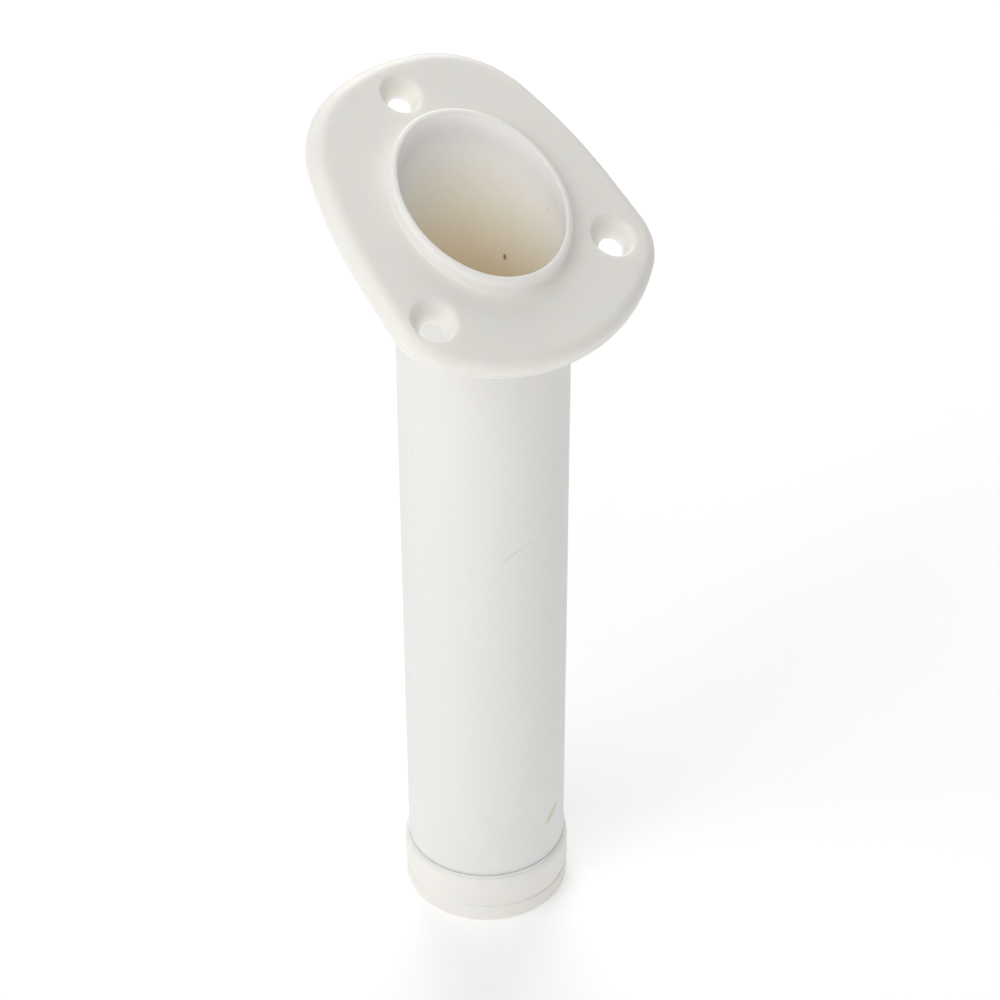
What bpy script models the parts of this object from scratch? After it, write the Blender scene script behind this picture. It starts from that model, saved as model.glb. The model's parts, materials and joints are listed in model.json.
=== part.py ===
"""Flush-mount rod holder: one moulding of tube and tilted flange, closed by a push-on end cap.

Frame: the tube's axis is +Z, the origin is the centre of the end cap's bottom face, and the
flange leans so that its low end points to -Y.  The holder is symmetric about the plane x = 0.
"""

import math

import bmesh
import bpy
from mathutils import Matrix, Vector

MM = 0.001
FIT_GAP = 0.3 * MM                      # air between the two pieces wherever they face each other
MERGE = 0.01 * MM
SHARP_ANGLE = math.radians(32.0)        # steeper edges than this stay crisp
FLAT_COSINE = 0.9999                    # faces this square to the tube or the flange are flat ones

# --- flange ---------------------------------------------------------------------------------
TILT = math.radians(30.0)               # between the flange's normal and the tube's axis
FLANGE_HEIGHT = 235.7 * MM              # where the tube's axis meets the flange's top plane
FLANGE_THICKNESS = 5.2 * MM
FLANGE_EDGE_RADIUS = 4.6 * MM           # nearly the whole edge is one quarter round
EDGE_SEGMENTS = 4
ARC_STEP = math.radians(5.0)            # turn between two outline points

# The outline is a chain of tangent pieces, walked from the middle of the low end round the +X
# side to the middle of the high end: (radius, heading at its end), or a straight's length.
LOW_END = 47.2 * MM                     # from the tube's axis down the slope to the low edge
LOW_END_ARC = (56.0 * MM, math.radians(40.5))
LOW_CORNER_ARC = (17.5 * MM, math.radians(92.5))
SIDE_STRAIGHT = 13.2 * MM
SIDE_ARC = (140.0 * MM, math.radians(107.0))
HIGH_CORNER_ARC = (31.0 * MM, math.radians(167.0))

# --- tube -----------------------------------------------------------------------------------
TUBE_RADIUS_TOP = 24.0 * MM             # at the height of the flange
TUBE_RADIUS_BOTTOM = 23.1 * MM          # moulding draft, extended down to z = 0
BORE_RADIUS_TOP = 22.2 * MM
BORE_RADIUS_BOTTOM = 21.3 * MM
LIP_HEIGHT = 4.2 * MM                   # the tube's wall stands this far above the flange
BLANK_TOP = 270.0 * MM                  # uncut tube, above everything
ROUND_STEPS = 72

# --- spigot and end cap ----------------------------------------------------------------------
SPIGOT_RADIUS = 22.5 * MM
CAP_FLOOR = 3.2 * MM
CAP_TOP = 16.8 * MM
SPIGOT_END = CAP_FLOOR + FIT_GAP
SHOULDER = CAP_TOP + FIT_GAP
CAP_BORE_RADIUS = SPIGOT_RADIUS + FIT_GAP
CAP_LIP_RADIUS = 23.6 * MM              # at the skirt's top edge
CAP_SKIRT_RADIUS = 24.25 * MM
CAP_GROOVE_RADIUS = 23.7 * MM
CAP_RIM_RADIUS = 24.1 * MM
CAP_SHOULDER_HEIGHT = 14.6 * MM         # below it the skirt is straight
CAP_GROOVE_LOW = 5.0 * MM
CAP_GROOVE_HIGH = 6.8 * MM
CAP_GROOVE_SLOPE = 0.5 * MM             # height of the groove's slanting sides
CAP_BOTTOM_RADIUS = 2.6 * MM
CAP_BOTTOM_SEGMENTS = 5

# --- screw holes ------------------------------------------------------------------------------
SCREW_RADIUS = 3.7 * MM                 # clearance for a 6 mm or 1/4 inch screw
SCREW_HEAD_RADIUS = 6.8 * MM            # where the tapered recess meets the flange's top
SINK_DEPTH = 4.6 * MM                   # the recess tapers through most of the flange
HOLE_LEAN = math.radians(10.0)          # the holes lean from the flange's normal towards the tube
SCREW_STEPS = 40
HOLE_OVERRUN = 2.0 * MM                 # a cutter runs this far past the faces it opens
LOW_HOLE = (30.8 * MM, -21.8 * MM)      # across the flange, and up its slope
HIGH_HOLE = (0.0, 39.4 * MM)

BODY_WHITE = (0.86, 0.86, 0.84, 1.0)
CAP_WHITE = (0.85, 0.85, 0.83, 1.0)


def clear_scene():
    for old in list(bpy.data.objects):
        bpy.data.objects.remove(old, do_unlink=True)


def make_collection(name):
    collection = bpy.data.collections.new(name)
    bpy.context.scene.collection.children.link(collection)
    return collection


def make_plastic(name, colour, roughness):
    material = bpy.data.materials.new(name)
    material.use_nodes = True
    shader = material.node_tree.nodes["Principled BSDF"]
    shader.inputs["Base Color"].default_value = colour
    shader.inputs["Roughness"].default_value = roughness
    shader.inputs["Metallic"].default_value = 0.0
    return material


def add_object(name, mesh, collection):
    obj = bpy.data.objects.new(name, mesh)
    collection.objects.link(obj)
    return obj


def hide_tool(obj):
    """Mark an object as a tool that only shapes other objects."""
    obj.hide_render = True
    obj.display_type = "WIRE"


def turned(name, profile, collection, steps):
    """Solid of revolution about Z.  The profile holds (radius, height) from axis to axis."""
    mesh = bpy.data.meshes.new(name)
    points = [(radius, 0.0, height) for radius, height in profile]
    edges = [(i, i + 1) for i in range(len(points) - 1)]
    mesh.from_pydata(points, edges, [])
    obj = add_object(name, mesh, collection)
    screw = obj.modifiers.new("turn", "SCREW")
    screw.axis = "Z"
    screw.steps = steps
    screw.render_steps = steps
    screw.use_merge_vertices = True
    screw.merge_threshold = MERGE
    screw.use_smooth_shade = False
    return obj


def cut(obj, name, tool, operation="DIFFERENCE"):
    boolean = obj.modifiers.new(name, "BOOLEAN")
    boolean.operation = operation
    boolean.solver = "EXACT"
    boolean.object = tool


def radius_at(height, top, bottom):
    """Radius of a drafted wall that is `bottom` at z = 0 and `top` at the flange."""
    return bottom + (top - bottom) * height / FLANGE_HEIGHT


def arc_points(start, heading, radius, end_heading):
    """Points after `start` along a clockwise arc; headings turn from +X towards -Y."""
    count = max(2, math.ceil((end_heading - heading) / ARC_STEP))
    points = []
    for i in range(1, count + 1):
        angle = heading + (end_heading - heading) * i / count
        points.append((start[0] + radius * (math.sin(angle) - math.sin(heading)),
                       start[1] + radius * (math.cos(angle) - math.cos(heading))))
    return points


def flange_half_outline():
    """The +X half of the outline, from the low end's middle to the high end's.

    It is walked with the second coordinate measured down the slope, which is then turned up.
    """
    points = [(0.0, LOW_END)]
    heading = 0.0
    for radius, end_heading in (LOW_END_ARC, LOW_CORNER_ARC):
        points += arc_points(points[-1], heading, radius, end_heading)
        heading = end_heading
    x, down = points[-1]
    points.append((x + SIDE_STRAIGHT * math.cos(heading), down - SIDE_STRAIGHT * math.sin(heading)))
    for radius, end_heading in (SIDE_ARC, HIGH_CORNER_ARC):
        points += arc_points(points[-1], heading, radius, end_heading)
        heading = end_heading
    closing_radius = points[-1][0] / math.sin(heading)
    points += arc_points(points[-1], heading, closing_radius, math.pi)
    points[-1] = (0.0, points[-1][1])
    return [(x, -down) for x, down in points]


def flange_frame():
    """Placement of the flange's own frame: X across, Y up the slope, Z along its normal."""
    return Matrix.Translation((0.0, 0.0, FLANGE_HEIGHT)) @ Matrix.Rotation(TILT, 4, "X")


def make_flange(tools):
    """Plate of the flange, its top face in the flange frame's plane z = 0."""
    right = flange_half_outline()
    left = [(-x, y) for x, y in reversed(right[1:-1])]
    curve = bpy.data.curves.new("flange_outline", "CURVE")
    curve.dimensions = "2D"
    curve.fill_mode = "BOTH"
    curve.extrude = FLANGE_THICKNESS / 2
    spline = curve.splines.new("POLY")
    spline.use_cyclic_u = True
    outline = right + left
    spline.points.add(len(outline) - 1)
    for point, (x, y) in zip(spline.points, outline):
        point.co = (x, y, 0.0, 1.0)
    guide = add_object("flange_guide", curve, tools)
    bpy.context.view_layer.update()
    mesh = bpy.data.meshes.new_from_object(guide.evaluated_get(bpy.context.evaluated_depsgraph_get()))
    bpy.data.objects.remove(guide)

    form = bmesh.new()
    form.from_mesh(mesh)
    bmesh.ops.remove_doubles(form, verts=form.verts, dist=MERGE)
    bmesh.ops.translate(form, verts=form.verts, vec=(0.0, 0.0, -FLANGE_THICKNESS / 2))
    bmesh.ops.recalc_face_normals(form, faces=form.faces)
    weight = form.edges.layers.float.new("bevel_weight_edge")
    for edge in form.edges:
        on_top = all(abs(vert.co.z) < MERGE for vert in edge.verts)
        on_side = any(abs(face.normal.z) < 0.5 for face in edge.link_faces)
        edge[weight] = 1.0 if on_top and on_side else 0.0
    form.to_mesh(mesh)
    form.free()

    flange = add_object("flange_plate", mesh, tools)
    flange.matrix_world = flange_frame()
    rounding = flange.modifiers.new("edge_round", "BEVEL")
    rounding.limit_method = "WEIGHT"
    rounding.width = FLANGE_EDGE_RADIUS
    rounding.segments = EDGE_SEGMENTS
    rounding.use_clamp_overlap = False
    hide_tool(flange)
    return flange


def make_mouth_cutter(tools):
    """Block above the lip, parallel to the flange."""
    size = 4 * TUBE_RADIUS_TOP
    form = bmesh.new()
    bmesh.ops.create_cube(form, size=size)
    bmesh.ops.translate(form, verts=form.verts, vec=(0.0, 0.0, size / 2 + LIP_HEIGHT))
    mesh = bpy.data.meshes.new("mouth_cutter")
    form.to_mesh(mesh)
    form.free()
    cutter = add_object("mouth_cutter", mesh, tools)
    cutter.matrix_world = flange_frame()
    hide_tool(cutter)
    return cutter


def make_bore_cutter(tools):
    top = radius_at(BLANK_TOP, BORE_RADIUS_TOP, BORE_RADIUS_BOTTOM)
    bottom = radius_at(0.0, BORE_RADIUS_TOP, BORE_RADIUS_BOTTOM)
    profile = [(0.0, BLANK_TOP + HOLE_OVERRUN), (top, BLANK_TOP + HOLE_OVERRUN), (bottom, 0.0), (0.0, 0.0)]
    cutter = turned("bore_cutter", profile, tools, ROUND_STEPS)
    hide_tool(cutter)
    return cutter


def make_screw_cutter(name, place, tools):
    """Tapered screw hole at `place` in the flange's frame, leaning towards the tube's axis."""
    taper = (SCREW_HEAD_RADIUS - SCREW_RADIUS) / SINK_DEPTH
    bottom = -FLANGE_THICKNESS - HOLE_OVERRUN
    profile = [(0.0, HOLE_OVERRUN), (SCREW_HEAD_RADIUS + taper * HOLE_OVERRUN, HOLE_OVERRUN),
               (SCREW_RADIUS, -SINK_DEPTH), (SCREW_RADIUS, bottom), (0.0, bottom)]
    cutter = turned(name, profile, tools, SCREW_STEPS)
    lean = Matrix.Rotation(-HOLE_LEAN, 4, "X")
    cutter.matrix_world = flange_frame() @ Matrix.Translation((place[0], place[1], 0.0)) @ lean
    hide_tool(cutter)
    return cutter


def finish(obj, material):
    """Turn the modifiers into plain mesh, shade it smooth where it is round, and colour it."""
    bpy.context.view_layer.update()
    shaped = obj.evaluated_get(bpy.context.evaluated_depsgraph_get())
    mesh = bpy.data.meshes.new_from_object(shaped)
    form = bmesh.new()
    form.from_mesh(mesh)
    bmesh.ops.remove_doubles(form, verts=form.verts, dist=MERGE)
    bmesh.ops.dissolve_degenerate(form, edges=form.edges, dist=MERGE)
    form.to_mesh(mesh)
    form.free()
    obj.modifiers.clear()
    obj.data = mesh
    mesh.shade_smooth()
    mesh.set_sharp_from_angle(angle=SHARP_ANGLE)
    flat_directions = (Vector((0.0, 0.0, 1.0)), flange_frame().to_3x3() @ Vector((0.0, 0.0, 1.0)))
    for polygon in mesh.polygons:
        if any(abs(polygon.normal.dot(flat)) > FLAT_COSINE for flat in flat_directions):
            polygon.use_smooth = False
    mesh.materials.clear()
    mesh.materials.append(material)


def make_holder_body(parts, tools):
    """Tube, lip and flange, with the bore and three screw holes through them."""
    profile = [(0.0, BLANK_TOP), (radius_at(BLANK_TOP, TUBE_RADIUS_TOP, TUBE_RADIUS_BOTTOM), BLANK_TOP),
               (radius_at(SHOULDER, TUBE_RADIUS_TOP, TUBE_RADIUS_BOTTOM), SHOULDER),
               (SPIGOT_RADIUS, SHOULDER), (SPIGOT_RADIUS, SPIGOT_END), (0.0, SPIGOT_END)]
    body = turned("holder_body", profile, parts, ROUND_STEPS)
    cut(body, "mouth", make_mouth_cutter(tools))
    cut(body, "flange", make_flange(tools), "UNION")
    cut(body, "bore", make_bore_cutter(tools))
    holes = {"high": HIGH_HOLE, "low_right": LOW_HOLE, "low_left": (-LOW_HOLE[0], LOW_HOLE[1])}
    for name, place in holes.items():
        cut(body, name + "_hole", make_screw_cutter(name + "_screw_cutter", place, tools))
    finish(body, make_plastic("body_plastic", BODY_WHITE, 0.42))


def make_end_cap(parts):
    """Cup that pushes over the tube's spigot: skirt, groove and bottom rim."""
    profile = [(0.0, CAP_FLOOR), (CAP_BORE_RADIUS, CAP_FLOOR), (CAP_BORE_RADIUS, CAP_TOP),
               (CAP_LIP_RADIUS, CAP_TOP), (CAP_SKIRT_RADIUS, CAP_SHOULDER_HEIGHT),
               (CAP_SKIRT_RADIUS, CAP_GROOVE_HIGH + CAP_GROOVE_SLOPE),
               (CAP_GROOVE_RADIUS, CAP_GROOVE_HIGH), (CAP_GROOVE_RADIUS, CAP_GROOVE_LOW + CAP_GROOVE_SLOPE),
               (CAP_RIM_RADIUS, CAP_GROOVE_LOW)]
    for i in range(CAP_BOTTOM_SEGMENTS + 1):
        angle = math.pi / 2 * i / CAP_BOTTOM_SEGMENTS
        profile.append((CAP_RIM_RADIUS - CAP_BOTTOM_RADIUS * (1.0 - math.cos(angle)),
                        CAP_BOTTOM_RADIUS * (1.0 - math.sin(angle))))
    profile.append((0.0, 0.0))
    cap = turned("end_cap", profile, parts, ROUND_STEPS)
    finish(cap, make_plastic("cap_plastic", CAP_WHITE, 0.46))


def main():
    clear_scene()
    parts = make_collection("rod_holder")
    tools = make_collection("cutters")
    make_holder_body(parts, tools)
    make_end_cap(parts)
    bpy.context.view_layer.update()


main()
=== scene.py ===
"""Looks of the flush-mount rod holder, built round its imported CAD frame.

The holder's moulding and its end cap are made again as fine meshes: the moulding as one grid of
rings that runs up the bore, over the lip, across the flange, round its edge and down the tube,
with three tapered screw holes cut through it; the cap as a turned shell with rounded edges.
"""

import json
import math

import bmesh
import bpy
import numpy as np
from mathutils import Matrix, Vector


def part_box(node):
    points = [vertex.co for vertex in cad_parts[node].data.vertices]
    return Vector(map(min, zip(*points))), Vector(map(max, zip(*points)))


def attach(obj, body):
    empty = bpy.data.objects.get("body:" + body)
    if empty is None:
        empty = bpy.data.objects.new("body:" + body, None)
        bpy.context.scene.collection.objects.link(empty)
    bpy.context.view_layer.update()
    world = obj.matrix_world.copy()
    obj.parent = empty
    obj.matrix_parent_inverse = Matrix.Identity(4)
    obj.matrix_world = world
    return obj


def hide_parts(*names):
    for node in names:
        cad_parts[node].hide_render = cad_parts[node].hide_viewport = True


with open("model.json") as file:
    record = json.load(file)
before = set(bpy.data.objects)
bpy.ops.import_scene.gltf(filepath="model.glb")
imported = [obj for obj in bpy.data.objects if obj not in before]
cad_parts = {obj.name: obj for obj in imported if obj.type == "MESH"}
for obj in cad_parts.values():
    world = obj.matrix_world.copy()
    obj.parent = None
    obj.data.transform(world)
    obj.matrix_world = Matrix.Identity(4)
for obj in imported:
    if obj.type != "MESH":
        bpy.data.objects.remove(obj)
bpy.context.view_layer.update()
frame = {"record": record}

MM = 0.001
DEG = math.pi / 180

# ---------------------------------------------------------------------------- sizes and places
# Places that come from the frame
seat = next(m for m in frame["record"]["mounts"] if m["name"] == "flange_seat")
SEAT_NORMAL = -Vector(seat["axis"]).normalized()            # out of the flange's top face
TILT = math.acos(SEAT_NORMAL.z)
SIN_TILT, COS_TILT, TAN_TILT = math.sin(TILT), math.cos(TILT), math.tan(TILT)
SPIGOT_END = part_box("holder_body")[0].z
CAP_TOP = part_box("end_cap")[1].z
FIT_GAP = 0.3 * MM
SHOULDER = CAP_TOP + FIT_GAP

# Flange
FLANGE_THICKNESS = 5.2 * MM
FLANGE_TOP = SEAT_NORMAL.dot(Vector(seat["pos_m"])) / COS_TILT + FLANGE_THICKNESS / COS_TILT
EDGE_ROUND = 4.2 * MM
# Under the rounding a fine groove and a proud moulding line: (inset, height over the underside), mm
EDGE_LINE = [(0.05, 0.97), (0.28, 0.85), (0.28, 0.55), (-0.05, 0.45),
             (-0.22, 0.35), (-0.22, 0.12), (-0.10, 0.03), (0.06, 0.0)]
LOW_END = 47.2 * MM                     # from the tube's axis down the slope to the low edge
LOW_END_ARC = (56.0 * MM, 40.5 * DEG)   # radius, and heading where the arc ends
LOW_CORNER_ARC = (17.5 * MM, 92.5 * DEG)
SIDE_STRAIGHT = 13.2 * MM
SIDE_ARC = (140.0 * MM, 107.0 * DEG)
HIGH_CORNER_ARC = (31.0 * MM, 167.0 * DEG)

# Tube, bore and lip
TUBE_TOP, TUBE_BOTTOM = 24.0 * MM, 23.1 * MM      # radii at the flange and at z = 0
BORE_TOP, BORE_BOTTOM = 22.2 * MM, 21.3 * MM
LIP_HEIGHT = 4.2 * MM
LIP_FLARE = 0.35 * MM                   # the lip's outer side stands this far out from the tube's
LIP_TUCK = 1.5 * MM                     # its foot is drawn in by this much at the flange's low end
LIP_INNER_TANGENT = 0.45 * MM           # tangent lengths of the roundings along the section
LIP_OUTER_TANGENT = 1.6 * MM
LIP_FILLET_TANGENT = 1.3 * MM
UNDER_FILLET_TANGENT = 1.6 * MM
SPIGOT_RADIUS = 22.5 * MM
END_BEVEL = 0.3 * MM                    # at both edges of the spigot's end
SHOULDER_BEVEL = 0.25 * MM
PARTING_LINES = {-89.0 * DEG: (150.0 * MM, 0.07 * MM), -83.6 * DEG: (150.0 * MM, 0.07 * MM),
                 91.0 * DEG: (20.0 * MM, 0.06 * MM)}        # direction: lowest height, ridge height
PARTING_WIDTH = 0.5 * MM
PARTING_FADE = 12 * MM

# Screw holes: place across the flange and up its slope, and size against the measures below
SCREW_HOLES = {"high": ((0.3 * MM, 39.4 * MM), 0.87), "low_right": ((29.6 * MM, -21.8 * MM), 0.95),
               "low_left": ((-31.9 * MM, -22.2 * MM), 0.96)}
SINK_RIM = 7.4 * MM                     # where the rim's rounding leaves the flange's top
SINK_ROUND_TIGHT, SINK_ROUND_WIDE = 0.8 * MM, 2.6 * MM
SINK_TIGHT_SIDE = -160 * DEG            # the side of the rim with the tight rounding
SINK_DEPTH = 4.8 * MM
SINK_BOTTOM = 4.05 * MM                 # radius at that depth
THROUGH_RADIUS = 3.6 * MM
THROUGH_ROUND = 0.3 * MM                # of the bright ring where the straight hole starts
HOLE_LEAN = 18.0 * DEG                  # the holes lean from the flange's normal down its slope
RIM_ENTRY = 6 * DEG                     # slope at which the rim's rounding crosses the flange's top
CUT_MARGIN, CUT_ABOVE, CUT_BELOW = 1 * MM, 3 * MM, 6 * MM   # cutter's reach outside the flange
HOLE_COLUMNS = 96

# End cap
CAP_FLOOR = 3.2 * MM
CAP_BORE = 22.8 * MM
CAP_LIP = 23.6 * MM
CAP_SKIRT = 24.25 * MM
CAP_GROOVE = 23.7 * MM
CAP_RIM = 24.1 * MM
CAP_GROOVE_LOW, CAP_GROOVE_HIGH = 5.0 * MM, 6.8 * MM
CAP_BOTTOM_ROUND = 0.9 * MM
CAP_EYE = 2 * MM                        # radius of the flat discs that close its bottom and its floor
CAP_INSIDE_BOTTOM = 12 * MM             # one more ring between the disc and the bottom's rounding
CAP_TAPER_START = 15.2 * MM             # above this height the skirt draws in to the lip
CAP_COLUMNS = 288

# Bead of cement at the cap's top edge
SEAM_THIN, SEAM_THICK = 0.28 * MM, 0.46 * MM        # radii of its section
SEAM_FULL_SIDE = -40 * DEG
SEAM_WAVES = [(7, 0.4, 0.45), (17, 1.9, 0.30), (31, 4.1, 0.25), (53, 2.7, 0.20)]   # count, phase, share
SEAM_ROUGHNESS = 0.02 * MM              # unevenness all round, on top of the fuller side's
SEAM_OUTSET, SEAM_SWELL = 0.35, 0.3     # shares of its section by which it moves outwards and upwards
SEAM_RISE = 0.02 * MM                   # its middle over the tube's shoulder where it is thinnest
SEAM_COLUMNS, SEAM_POINTS = 720, 12
SEAM_SHARP = 60 * DEG

# Fineness of the moulding's grid
COLUMNS = 432                           # points round the tube
BORE_STEPS, TOP_STEPS, EDGE_STEPS, UNDER_STEPS, TUBE_STEPS = 36, 16, 12, 10, 44
SHARP = 40 * DEG                        # edges sharper than this keep their crease


# ------------------------------------------------------------------------------ small helpers
def smooth_step(x):
    x = np.clip(x, 0.0, 1.0)
    return x * x * (3 - 2 * x)


def unit(v):
    return v / np.linalg.norm(v, axis=-1, keepdims=True)


def round_corner(before, corner, after, tangent, steps):
    """Points of arcs that round off the corners of many 2D sections at once."""
    u, v = unit(before - corner), unit(after - corner)
    half = np.arccos(np.clip((u * v).sum(1), -1, 1)) / 2
    centre = corner + unit(u + v) * (tangent / np.cos(half))[:, None]
    start, end = corner + u * tangent - centre, corner + v * tangent - centre
    sweep = math.pi - 2 * half
    points = []
    for k in range(steps + 1):
        t = k / steps
        a = (np.sin((1 - t) * sweep) / np.sin(sweep))[:, None]
        b = (np.sin(t * sweep) / np.sin(sweep))[:, None]
        points.append(centre + a * start + b * end)
    return points


def grid_mesh(name, rings, close=False):
    """Quad mesh over rings of equal length; close joins the last ring to the first."""
    count, columns = len(rings), len(rings[0])
    mesh = bpy.data.meshes.new(name)
    rows = range(count if close else count - 1)
    faces = [(r * columns + c, r * columns + (c + 1) % columns,
              (r + 1) % count * columns + (c + 1) % columns, (r + 1) % count * columns + c)
             for r in rows for c in range(columns)]
    mesh.from_pydata(np.concatenate(rings).tolist(), [], faces)
    return mesh


def add_object(name, mesh):
    obj = bpy.data.objects.new(name, mesh)
    bpy.context.scene.collection.objects.link(obj)
    return obj


def bake_modifiers(obj):
    bpy.context.view_layer.update()
    graph = bpy.context.evaluated_depsgraph_get()
    mesh = bpy.data.meshes.new_from_object(obj.evaluated_get(graph))
    obj.modifiers.clear()
    obj.data = mesh


def close_ends(mesh):
    """Cap a grid's open ends, if it has any, and turn all its faces outwards."""
    form = bmesh.new()
    form.from_mesh(mesh)
    bmesh.ops.holes_fill(form, edges=form.edges)
    bmesh.ops.recalc_face_normals(form, faces=form.faces)
    form.to_mesh(mesh)
    form.free()


def shade(obj, sharp_angle):
    """Smooth shading that keeps flat faces flat beside their roundings."""
    obj.data.shade_smooth()
    obj.data.set_sharp_from_angle(angle=sharp_angle)
    weighted = obj.modifiers.new("weighted_normals", "WEIGHTED_NORMAL")
    weighted.keep_sharp = True
    weighted.weight = 50


# ------------------------------------------------------------------------------ flange outline
def flange_outline():
    """Dense outline in the flange's plane, as (x, up-slope) points with their outward normals."""
    x, down, heading = 0.0, LOW_END, 0.0
    points, headings = [(x, down)], [heading]

    def walk_arc(radius, end):
        nonlocal x, down, heading
        steps = max(2, math.ceil((end - heading) / (0.5 * DEG)))
        x0, down0, start = x, down, heading
        for i in range(1, steps + 1):
            heading = start + (end - start) * i / steps
            x = x0 + radius * (math.sin(heading) - math.sin(start))
            down = down0 + radius * (math.cos(heading) - math.cos(start))
            points.append((x, down))
            headings.append(heading)

    walk_arc(*LOW_END_ARC)
    walk_arc(*LOW_CORNER_ARC)
    x += SIDE_STRAIGHT * math.cos(heading)
    down -= SIDE_STRAIGHT * math.sin(heading)
    points.append((x, down))
    headings.append(heading)
    walk_arc(*SIDE_ARC)
    walk_arc(*HIGH_CORNER_ARC)
    walk_arc(x / math.sin(heading), math.pi)
    right = np.array(points) * (1, -1)
    normals = np.stack([np.sin(headings), -np.cos(headings)], axis=1)
    left, left_normals = right[-2:0:-1] * (-1, 1), normals[-2:0:-1] * (-1, 1)
    return np.concatenate([right, left]), np.concatenate([normals, left_normals])


def outline_at(angles):
    """Outline points and normals in the given directions, seen from the tube's axis."""
    points, normals = flange_outline()
    around = np.unwrap(np.arctan2(points[:, 1], points[:, 0]))
    around = np.concatenate([around - 2 * math.pi, around, around + 2 * math.pi])
    wanted = np.mod(angles - around[0], 2 * math.pi) + around[0] + 2 * math.pi
    found = []
    for values in (points, normals):
        tripled = np.concatenate([values] * 3)
        found.append(np.stack([np.interp(wanted, around, tripled[:, k]) for k in (0, 1)], axis=1))
    return found[0], unit(found[1])


def on_flange(plane_points, height):
    """World points from (x, up-slope) points at a height along the flange's normal."""
    x, up = plane_points[:, 0], plane_points[:, 1]
    y = up * COS_TILT - height * SIN_TILT
    z = FLANGE_TOP + up * SIN_TILT + height * COS_TILT
    return np.stack([x, y, z], axis=1)


# ------------------------------------------------------------------------------ the moulding
def column_angles():
    """Directions of the grid's columns, with extra ones across each parting line."""
    even = np.arange(COLUMNS) * 2 * math.pi / COLUMNS - math.pi
    half = PARTING_WIDTH / TUBE_TOP
    keep = np.ones(COLUMNS, bool)
    extra = []
    for line in PARTING_LINES:
        keep &= abs(even - line) > half * 1.3
        extra += [line + half * k / 4 for k in range(-4, 5)]
    return np.sort(np.concatenate([even[keep], extra]))


def tube_radius(z):
    return TUBE_BOTTOM + (TUBE_TOP - TUBE_BOTTOM) * z / FLANGE_TOP


def bore_radius(z):
    return BORE_BOTTOM + (BORE_TOP - BORE_BOTTOM) * z / FLANGE_TOP


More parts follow.
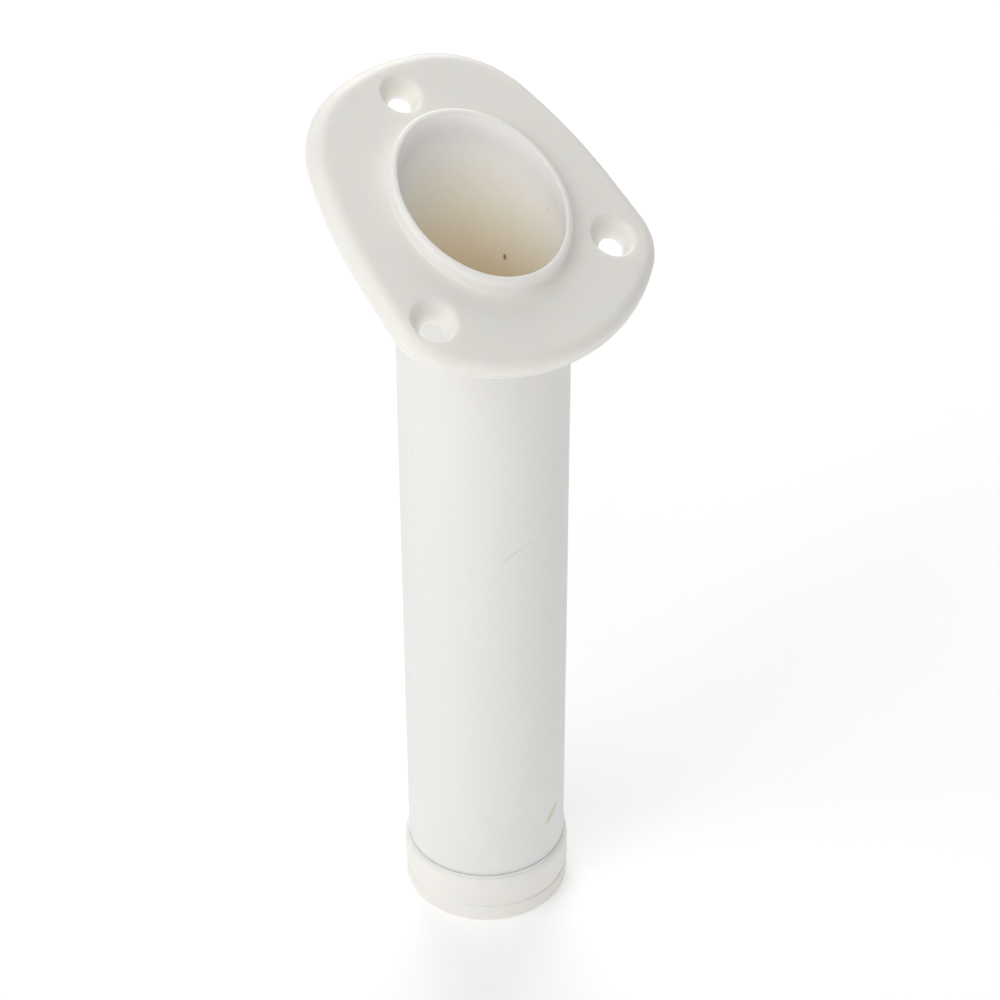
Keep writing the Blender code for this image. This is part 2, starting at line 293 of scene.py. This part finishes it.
def moulding_rings():
    """The moulding's closed grid as rings of points, and the ring where the bore ends at the lip."""
    angle = column_angles()
    cosine, sine = np.cos(angle), np.sin(angle)
    slope = TAN_TILT * sine             # rise of the flange's plane per unit of radius

    def plane(radius, height):
        """Section points on the plane at a height along the flange's normal."""
        radius = np.broadcast_to(radius, angle.shape)
        return np.stack([radius, FLANGE_TOP + height / COS_TILT + slope * radius], axis=1)

    def on_wall(radius_of, height):
        """Where a nearly upright wall meets the plane at that height."""
        z = plane(TUBE_TOP, height)[:, 1]
        for _ in range(3):
            z = plane(radius_of(z), height)[:, 1]
        return np.stack([radius_of(z), z], axis=1)

    def between(a, b, steps):
        return [a + (b - a) * (k / steps) for k in range(1, steps)]

    def level(radius, z):
        return np.stack([np.full(angle.shape, radius), np.full(angle.shape, z)], axis=1)

    def lift(section):
        return np.stack([section[:, 0] * cosine, section[:, 0] * sine, section[:, 1]], axis=1)

    down = np.array([0.0, -1.0])
    inner = on_wall(bore_radius, LIP_HEIGHT)
    outer = on_wall(lambda z: tube_radius(z) + LIP_FLARE, LIP_HEIGHT)
    root = plane(TUBE_TOP + LIP_FLARE - LIP_TUCK * (0.5 - 0.5 * sine), 0.0)
    under = on_wall(tube_radius, -FLANGE_THICKNESS)

    lip_in = round_corner(inner + down, inner, outer, LIP_INNER_TANGENT, 5)
    lip_out = round_corner(inner, outer, root, LIP_OUTER_TANGENT, 10)
    fillet = round_corner(outer, root, plane(TUBE_TOP * 2, 0.0), LIP_FILLET_TANGENT, 12)
    bottom = level(bore_radius(SPIGOT_END) + END_BEVEL, SPIGOT_END)
    bore_start = level(bore_radius(SPIGOT_END + END_BEVEL), SPIGOT_END + END_BEVEL)
    rings = [bottom, bore_start] + between(bore_start, lip_in[0], BORE_STEPS)
    mouth_ring = len(rings)
    rings += lip_in + lip_out + between(lip_out[-1], fillet[0], 3) + fillet
    rings = [lift(r) for r in rings]

    # Across the flange's top, round its edge and back underneath
    direction = np.arctan2(sine / COS_TILT, cosine)
    edge, normal = outline_at(direction)
    top_start = rings[-1]
    top_end = on_flange(edge - normal * EDGE_ROUND, 0.0)
    rings += between(top_start, top_end, TOP_STEPS)
    for k in range(EDGE_STEPS + 1):
        turn = math.pi / 2 * k / EDGE_STEPS
        inset = EDGE_ROUND * (1 - math.sin(turn))
        rings.append(on_flange(edge - normal * inset, -EDGE_ROUND * (1 - math.cos(turn))))
    for inset, rise in EDGE_LINE:
        rings.append(on_flange(edge - normal * inset * MM, rise * MM - FLANGE_THICKNESS))
    under_fillet = round_corner(plane(TUBE_TOP * 2, -FLANGE_THICKNESS), under, under + down,
                                UNDER_FILLET_TANGENT, 8)
    rings += between(rings[-1], lift(under_fillet[0]), UNDER_STEPS)

    # Down the tube, over its shoulder and round the spigot
    shoulder_top = level(tube_radius(SHOULDER) - 0.02 * MM, SHOULDER + SHOULDER_BEVEL)
    shoulder = level(tube_radius(SHOULDER) - SHOULDER_BEVEL, SHOULDER)
    tube = under_fillet + between(under_fillet[-1], shoulder_top, TUBE_STEPS) + [shoulder_top]
    tube = [section.copy() for section in tube]
    for section in tube:
        for line, (lowest, ridge) in PARTING_LINES.items():
            across = abs(angle - line) / (PARTING_WIDTH / TUBE_TOP)
            fade = smooth_step((section[:, 1] - lowest) / PARTING_FADE)
            section[:, 0] += ridge * fade * np.where(across < 1, np.cos(across * math.pi / 2) ** 2, 0)
    spigot = [shoulder, level(SPIGOT_RADIUS, SHOULDER), level(SPIGOT_RADIUS, SPIGOT_END + END_BEVEL),
              level(SPIGOT_RADIUS - END_BEVEL, SPIGOT_END)]
    rings += [lift(r) for r in tube + spigot]
    return rings, mouth_ring


def quarter(centre, radius, first, last, steps):
    """(radius, depth) points of an arc whose angle is 0 at its top and 90 degrees nearest the axis."""
    turns = [first + (last - first) * k / steps for k in range(steps + 1)]
    return [(centre[0] - radius * math.sin(t), centre[1] - radius * math.cos(t)) for t in turns]


def sink_profile(rim_round):
    """(radius, depth) points of a screw hole: rounded rim, taper, narrow shelf and straight hole."""
    taper = 30 * DEG                    # its angle from the axis, made tangent to the rim's rounding
    for _ in range(20):
        rim_end = quarter((SINK_RIM, rim_round), rim_round, 0, 90 * DEG - taper, 1)[-1]
        taper = math.atan2(rim_end[0] - SINK_BOTTOM, SINK_DEPTH - rim_end[1])
    rim = quarter((SINK_RIM, rim_round), rim_round, RIM_ENTRY, 90 * DEG - taper, 14)
    (first, lift), (last, low) = rim[0], rim[-1]
    start = [(first + CUT_MARGIN, -CUT_ABOVE), (first + CUT_MARGIN, -CUT_MARGIN * math.tan(RIM_ENTRY))]
    cone = [(last + (SINK_BOTTOM - last) * k / 8, low + (SINK_DEPTH - low) * k / 8) for k in range(1, 9)]
    shelf_centre = (THROUGH_RADIUS + THROUGH_ROUND, SINK_DEPTH + THROUGH_ROUND)
    shelf = quarter(shelf_centre, THROUGH_ROUND, 0, 90 * DEG, 5)
    points = rim + cone + shelf + [(THROUGH_RADIUS, FLANGE_THICKNESS + CUT_BELOW)]
    return np.array(start + [(radius, depth - lift) for radius, depth in points])


def screw_cutter(name, place, size):
    """Screw hole's cutter, whose rings lie parallel to the flange while its centre leans."""
    turn = np.arange(HOLE_COLUMNS) * 2 * math.pi / HOLE_COLUMNS
    circle = np.stack([np.cos(turn), np.sin(turn)], axis=1)
    tight = smooth_step(0.5 + 0.5 * np.cos(turn - SINK_TIGHT_SIDE))[:, None]
    rings = []
    for wide_point, tight_point in zip(sink_profile(SINK_ROUND_WIDE), sink_profile(SINK_ROUND_TIGHT)):
        radius, depth = (wide_point + (tight_point - wide_point) * tight).T
        drift = np.stack([np.zeros(turn.shape), depth * math.tan(HOLE_LEAN)], axis=1)
        rings.append(on_flange(np.array(place) - drift + circle * (radius * size)[:, None], -depth))
    mesh = grid_mesh(name, rings)
    close_ends(mesh)
    return add_object(name, mesh)


def make_moulding():
    """The whole moulding with its screw holes; the face attribute bore_face marks the bore."""
    rings, mouth_ring = moulding_rings()
    mesh = grid_mesh("rod_holder_moulding", rings, close=True)
    columns = len(rings[0])
    bore_face = mesh.attributes.new("bore_face", "BOOLEAN", "FACE")
    flags = np.zeros(len(mesh.polygons), bool)
    flags[:mouth_ring * columns] = True
    bore_face.data.foreach_set("value", flags)
    close_ends(mesh)
    body = add_object("rod_holder_moulding", mesh)
    cutters = [screw_cutter(name + "_screw_cutter", *hole) for name, hole in SCREW_HOLES.items()]
    for cutter in cutters:
        hole = body.modifiers.new(cutter.name, "BOOLEAN")
        hole.operation = "DIFFERENCE"
        hole.solver = "EXACT"
        hole.object = cutter
    bake_modifiers(body)
    for cutter in cutters:
        bpy.data.objects.remove(cutter)
    shade(body, SHARP)
    return body


# ------------------------------------------------------------------------------ the end cap
def rounded(profile, steps):
    """A turned profile with each (radius, z, tangent) corner rounded by that tangent length."""
    points = []
    for i, (radius, z, tangent) in enumerate(profile):
        if not tangent:
            points.append((radius, z))
            continue
        corner = np.array([[radius, z]])
        before, after = np.array([profile[i - 1][:2]]), np.array([profile[i + 1][:2]])
        points += [tuple(p[0]) for p in round_corner(before, corner, after, tangent, steps)]
    return points


def make_cap():
    """The cap as a turned shell, from the middle of its bottom to the middle of its floor."""
    angle = np.arange(CAP_COLUMNS) * 2 * math.pi / CAP_COLUMNS
    profile = [
        (CAP_EYE, 0.0, 0), (CAP_INSIDE_BOTTOM, 0.0, 0), (CAP_RIM, 0.0, CAP_BOTTOM_ROUND),
        (CAP_RIM, CAP_GROOVE_LOW, 0.35 * MM), (CAP_GROOVE, CAP_GROOVE_LOW + 0.35 * MM, 0.15 * MM),
        (CAP_GROOVE, CAP_GROOVE_HIGH - 0.2 * MM, 0.2 * MM),
        (CAP_SKIRT, CAP_GROOVE_HIGH + 0.15 * MM, 0.3 * MM),
        (CAP_SKIRT, CAP_TAPER_START, 1.0 * MM), (CAP_LIP, CAP_TOP, 0.3 * MM), (CAP_BORE, CAP_TOP, 0.2 * MM),
        (CAP_BORE, CAP_FLOOR, 0.5 * MM), (CAP_EYE, CAP_FLOOR, 0),
    ]
    rings = [np.stack([r * np.cos(angle), r * np.sin(angle), np.full(angle.shape, z)], axis=1)
             for r, z in rounded(profile, 6)]
    mesh = grid_mesh("end_cap_moulding", rings)
    close_ends(mesh)
    cap = add_object("end_cap_moulding", mesh)
    shade(cap, SHARP)
    return cap


def make_seam_bead():
    """Uneven bead of squeezed-out cement along the cap's top edge, fuller towards -Y and +X."""
    angle = np.arange(SEAM_COLUMNS) * 2 * math.pi / SEAM_COLUMNS
    uneven = sum(np.sin(angle * turns + phase) * part for turns, phase, part in SEAM_WAVES)
    full = 0.5 + 0.5 * np.cos(angle - SEAM_FULL_SIDE)
    swell = (SEAM_THICK - SEAM_THIN) * full * (0.75 + 0.25 * uneven)
    section = SEAM_THIN + swell + SEAM_ROUGHNESS * uneven
    centre = tube_radius(CAP_TOP) + SEAM_OUTSET * section
    height = SHOULDER + SEAM_RISE + SEAM_SWELL * (section - SEAM_THIN)
    rings = []
    for k in range(SEAM_POINTS):
        turn = k * 2 * math.pi / SEAM_POINTS
        radius = centre + section * math.cos(turn)
        rings.append(np.stack([radius * np.cos(angle), radius * np.sin(angle),
                               height + section * math.sin(turn)], axis=1))
    mesh = grid_mesh("cap_seam_bead", rings, close=True)
    close_ends(mesh)
    bead = add_object("cap_seam_bead", mesh)
    shade(bead, SEAM_SHARP)
    return bead


# ------------------------------------------------------------------------------ materials
class Nodes:
    """A material's node tree, with short calls for the nodes used here."""

    def __init__(self, name, roughness):
        self.material = bpy.data.materials.new(name)
        self.material.use_nodes = True
        self.tree = self.material.node_tree
        self.shader = self.tree.nodes["Principled BSDF"]
        self.shader.inputs["Roughness"].default_value = roughness
        self.place = self.add("ShaderNodeTexCoord").outputs["Object"]

    def add(self, kind, **settings):
        node = self.tree.nodes.new(kind)
        for key, value in settings.items():
            setattr(node, key, value)
        return node

    def link(self, source, target):
        self.tree.links.new(source, target)

    def noise(self, scale, detail):
        node = self.add("ShaderNodeTexNoise")
        node.inputs["Scale"].default_value = scale
        node.inputs["Detail"].default_value = detail
        self.link(self.place, node.inputs["Vector"])
        return node.outputs["Fac"]

    def spread(self, value, low, high, to_low=0.0, to_high=1.0, smooth=False):
        node = self.add("ShaderNodeMapRange")
        node.interpolation_type = "SMOOTHSTEP" if smooth else "LINEAR"
        for key, number in (("From Min", low), ("From Max", high), ("To Min", to_low), ("To Max", to_high)):
            node.inputs[key].default_value = number
        self.link(value, node.inputs["Value"])
        return node.outputs["Result"]

    def divide(self, a, b):
        node = self.add("ShaderNodeMath", operation="DIVIDE")
        self.link(a, node.inputs[0])
        self.link(b, node.inputs[1])
        return node.outputs["Value"]

    def vector(self, operation, a, b, output="Vector"):
        node = self.add("ShaderNodeVectorMath", operation=operation)
        self.link(a, node.inputs[0])
        if isinstance(b, Vector):
            node.inputs[1].default_value = b
        else:
            self.link(b, node.inputs[1])
        return node.outputs[output]

    def mix(self, factor, a, b):
        """Colour between a and b, each a colour or another node's output."""
        node = self.add("ShaderNodeMix", data_type="RGBA")
        self.link(factor, node.inputs["Factor"])
        for socket, value in ((node.inputs[6], a), (node.inputs[7], b)):
            if isinstance(value, tuple):
                socket.default_value = (*value, 1.0)
            else:
                self.link(value, socket)
        return node.outputs[2]

    def bump(self, height, strength, distance, base=None):
        node = self.add("ShaderNodeBump")
        node.inputs["Strength"].default_value = strength
        node.inputs["Distance"].default_value = distance
        self.link(height, node.inputs["Height"])
        if base:
            self.link(base, node.inputs["Normal"])
        return node.outputs["Normal"]


SUBSURFACE = 0.9                        # the thin white walls let some light through, red most
SUBSURFACE_RADIUS = (1.0, 0.9, 0.75)
BODY_SCATTER, CAP_SCATTER = 2.5 * MM, 0.9 * MM
BODY_COOL, BODY_WARM = (0.882, 0.872, 0.836), (0.890, 0.872, 0.832)
CAP_COOL, CAP_WARM = (0.910, 0.888, 0.845), (0.914, 0.888, 0.843)
# Painted light in the bore: a lighter colour at the mouth and a painted warm, darker shade deep down,
# standing in for bounce light and light through the walls
MOUTH_PAINTED_LIGHT, DEEP_PAINTED_WARM_SHADE = (0.985, 0.966, 0.930), (0.955, 0.785, 0.640)
DEEP = 60.0 * MM                        # depth at which the bore has its full painted warm shade
YELLOW_SCUFF, BROWN_SCUFF = (0.70, 0.62, 0.36), (0.50, 0.42, 0.28)
ROUGHNESS, ROUGHNESS_LOW, ROUGHNESS_HIGH = 0.42, 0.38, 0.50
# Noise scales, in waves per metre or so
CLOUD_SCALE, SHEEN_SCALE, PEEL_SCALE, GRAIN_SCALE, RAGGED_SCALE = 28.0, 90.0, 420.0, 2600.0, 1900.0

# Marks, in mm: (first point, last point, width, strength, colour)
BODY_MARKS = [
    ((-10.7, -21.1, 135.0), (-7.5, -22.4, 137.7), 0.35, 0.35, YELLOW_SCUFF),
    ((-7.5, -22.4, 137.7), (-2.0, -23.5, 139.9), 0.35, 0.30, YELLOW_SCUFF),
    ((5.2, -22.6, 31.4), (8.4, -21.6, 34.0), 1.80, 0.40, (0.72, 0.66, 0.40)),
    ((5.4, -22.6, 31.8), (9.8, -21.1, 35.6), 0.45, 0.55, BROWN_SCUFF),
    ((1.7, -23.7, 164.5), (1.7, -23.7, 164.7), 0.30, 0.45, (0.35, 0.33, 0.30)),
    ((-6.3, -23.0, 191.2), (-6.3, -23.0, 192.0), 0.30, 0.22, (0.45, 0.43, 0.40)),
    ((-23.7, 1.6, 163.0), (-23.7, 1.6, 167.5), 0.25, 0.20, (0.50, 0.48, 0.45)),
    ((2.7, -23.4, 112.9), (10.3, -21.1, 96.5), 0.60, 0.08, (0.55, 0.52, 0.45)),
]
BORE_MARKS = [
    ((18.1, 12.6, 206.1), (18.1, 12.6, 207.1), 0.55, 0.75, (0.20, 0.17, 0.14)),
    ((22.2, -0.6, 226.2), (22.2, -0.6, 227.0), 0.45, 0.30, (0.45, 0.40, 0.34)),
]


def add_mark(nodes, base, mark):
    """Blend a mark's colour into the base near the line between its two points, with ragged edges."""
    first, last, width, strength, colour = mark
    first = Vector([part * MM for part in first])
    span = Vector([part * MM for part in last]) - first
    width *= MM
    offset = nodes.vector("SUBTRACT", nodes.place, first)
    along = nodes.spread(nodes.vector("DOT_PRODUCT", offset, span, "Value"), 0.0, span.length_squared)
    scaled = nodes.add("ShaderNodeVectorMath", operation="SCALE")
    scaled.inputs[0].default_value = span
    nodes.link(along, scaled.inputs["Scale"])
    distance = nodes.vector("DISTANCE", offset, scaled.outputs["Vector"], "Value")
    ragged = nodes.spread(nodes.noise(RAGGED_SCALE, 4.0), 0.3, 0.7, 0.5 * width, 1.5 * width)
    inside = nodes.spread(nodes.divide(distance, ragged), 0.4, 1.1, strength, 0.0, smooth=True)
    return nodes.mix(inside, base, colour)


def plastic(name, scatter):
    """Satin white moulded plastic without its colour: orange peel and a slightly uneven sheen."""
    nodes = Nodes(name, ROUGHNESS)
    nodes.shader.inputs["Subsurface Weight"].default_value = SUBSURFACE
    nodes.shader.inputs["Subsurface Radius"].default_value = SUBSURFACE_RADIUS
    nodes.shader.inputs["Subsurface Scale"].default_value = scatter
    sheen = nodes.spread(nodes.noise(SHEEN_SCALE, 4.0), 0.3, 0.7, ROUGHNESS_LOW, ROUGHNESS_HIGH)
    nodes.link(sheen, nodes.shader.inputs["Roughness"])
    peel = nodes.bump(nodes.noise(PEEL_SCALE, 2.0), 0.25, 0.03 * MM)
    grain = nodes.bump(nodes.noise(GRAIN_SCALE, 2.0), 0.2, 0.01 * MM, peel)
    nodes.link(grain, nodes.shader.inputs["Normal"])
    return nodes


def colour_plastic(nodes, factor, first, second, marks=()):
    """Colour the plastic between two tints by a factor, with its marks on top."""
    base = nodes.mix(factor, first, second)
    for mark in marks:
        base = add_mark(nodes, base, mark)
    nodes.link(base, nodes.shader.inputs["Base Color"])
    return nodes.material


def clouds(nodes):
    """Faint clouding of the plastic's colour."""
    return nodes.spread(nodes.noise(CLOUD_SCALE, 3.0), 0.3, 0.7)


def body_plastic():
    nodes = plastic("white_body_plastic", BODY_SCATTER)
    return colour_plastic(nodes, clouds(nodes), BODY_COOL, BODY_WARM, BODY_MARKS)


def bore_plastic_painted_light():
    """The bore's plastic with painted light: lighter at the mouth, and a painted warm shade that grows with
    depth under the flange's top, for light bouncing inside and coming through the thin walls.
    """
    nodes = plastic("bore_plastic_painted_light", BODY_SCATTER)
    plane_height = nodes.vector("DOT_PRODUCT", nodes.place, Vector((0.0, -TAN_TILT, 1.0)), "Value")
    depth = nodes.spread(plane_height, FLANGE_TOP, FLANGE_TOP - DEEP)
    return colour_plastic(nodes, depth, MOUTH_PAINTED_LIGHT, DEEP_PAINTED_WARM_SHADE, BORE_MARKS)


def cap_plastic():
    nodes = plastic("white_cap_plastic", CAP_SCATTER)
    return colour_plastic(nodes, clouds(nodes), CAP_COOL, CAP_WARM)


# ------------------------------------------------------------------------------ stage and light
FLOOR_SIZE = 4.0
FLOOR_GLOW, WORLD_GLOW = 0.22, 0.33
SOFTBOX_SIZE, SOFTBOX_DISTANCE = 1.1, 1.6
# Softboxes: direction from the holder as (right, towards the camera, up), and power in watts
SOFTBOXES = {
    "key_softbox": ((-0.37, 0.23, 0.35), 6.0),
    "front_softbox": ((0.0, 1.0, 0.45), 2.2),
    "high_softbox": ((-0.45, 0.9, 1.2), 6.0),
    "back_softbox": ((0.0, -1.0, 0.8), 12.5),
}


def make_stage():
    """A plain pale floor and an even white surround."""
    form = bmesh.new()
    bmesh.ops.create_grid(form, x_segments=1, y_segments=1, size=FLOOR_SIZE)
    mesh = bpy.data.meshes.new("floor")
    form.to_mesh(mesh)
    form.free()
    floor = add_object("floor", mesh)
    nodes = Nodes("pale_floor", 0.9)
    nodes.shader.inputs["Base Color"].default_value = (0.9, 0.9, 0.9, 1.0)
    nodes.shader.inputs["Emission Color"].default_value = (1.0, 1.0, 1.0, 1.0)
    nodes.shader.inputs["Emission Strength"].default_value = FLOOR_GLOW
    mesh.materials.append(nodes.material)

    world = bpy.data.worlds.new("studio")
    world.use_nodes = True
    world.node_tree.nodes["Background"].inputs["Color"].default_value = (1.0, 1.0, 1.0, 1.0)
    world.node_tree.nodes["Background"].inputs["Strength"].default_value = WORLD_GLOW
    bpy.context.scene.world = world


# Camera: its direction from the object, and its place relative to a target on the tube's axis
AZIMUTH, ELEVATION, ROLL = -39.58 * DEG, 37.27 * DEG, -0.16 * DEG
TARGET = Vector((0.0, 0.0, 150.0 * MM))
CAMERA_RIGHT, CAMERA_UP, CAMERA_BACK = 4.42 * MM, -8.50 * MM, 1004.1 * MM
LENS, SENSOR = 130.0, 36.0


def view_axes():
    """The camera's right, up and back directions before its roll."""
    back = Vector((math.sin(AZIMUTH) * math.cos(ELEVATION), -math.cos(AZIMUTH) * math.cos(ELEVATION),
                   math.sin(ELEVATION)))
    right = Vector((math.cos(AZIMUTH), math.sin(AZIMUTH), 0.0))
    return right, back.cross(right), back


def make_camera():
    right, up, back = view_axes()
    rolled_right = right * math.cos(ROLL) + up * math.sin(ROLL)
    rolled_up = up * math.cos(ROLL) - right * math.sin(ROLL)
    data = bpy.data.cameras.new("camera")
    data.lens, data.sensor_width = LENS, SENSOR
    data.clip_start, data.clip_end = 0.05, 50.0
    camera = add_object("camera", data)
    rotation = Matrix((rolled_right, rolled_up, back)).transposed()
    place = TARGET + rolled_right * CAMERA_RIGHT + rolled_up * CAMERA_UP + back * CAMERA_BACK
    camera.matrix_world = Matrix.Translation(place) @ rotation.to_4x4()
    bpy.context.scene.camera = camera


def make_softbox(name, direction, power):
    """Square area light that faces the holder."""
    right, _, _ = view_axes()
    towards = Vector((math.sin(AZIMUTH), -math.cos(AZIMUTH), 0.0))
    way = (right * direction[0] + towards * direction[1] + Vector((0, 0, 1)) * direction[2]).normalized()
    data = bpy.data.lights.new(name, "AREA")
    data.shape, data.size, data.energy = "SQUARE", SOFTBOX_SIZE, power
    light = add_object(name, data)
    light.location = TARGET + way * SOFTBOX_DISTANCE
    light.rotation_mode = "QUATERNION"
    light.rotation_quaternion = way.to_track_quat("Z", "Y")


# ------------------------------------------------------------------------------ put together
moulding = make_moulding()
moulding.data.materials.append(body_plastic())
# the bore's faces get the colour with painted light and painted warm shade
moulding.data.materials.append(bore_plastic_painted_light())
inside = np.zeros(len(moulding.data.polygons), bool)
moulding.data.attributes["bore_face"].data.foreach_get("value", inside)
moulding.data.polygons.foreach_set("material_index", inside.astype(np.int32))
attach(moulding, "holder")
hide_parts("holder_body")

cap = make_cap()
cap.data.materials.append(cap_plastic())
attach(cap, "cap")
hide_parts("end_cap")

seam_bead = make_seam_bead()
seam_bead.data.materials.append(cap.data.materials[0])
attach(seam_bead, "cap")

make_stage()
for softbox, (way_there, watts) in SOFTBOXES.items():
    make_softbox(softbox, way_there, watts)
make_camera()
bpy.context.scene.view_settings.view_transform = "Standard"
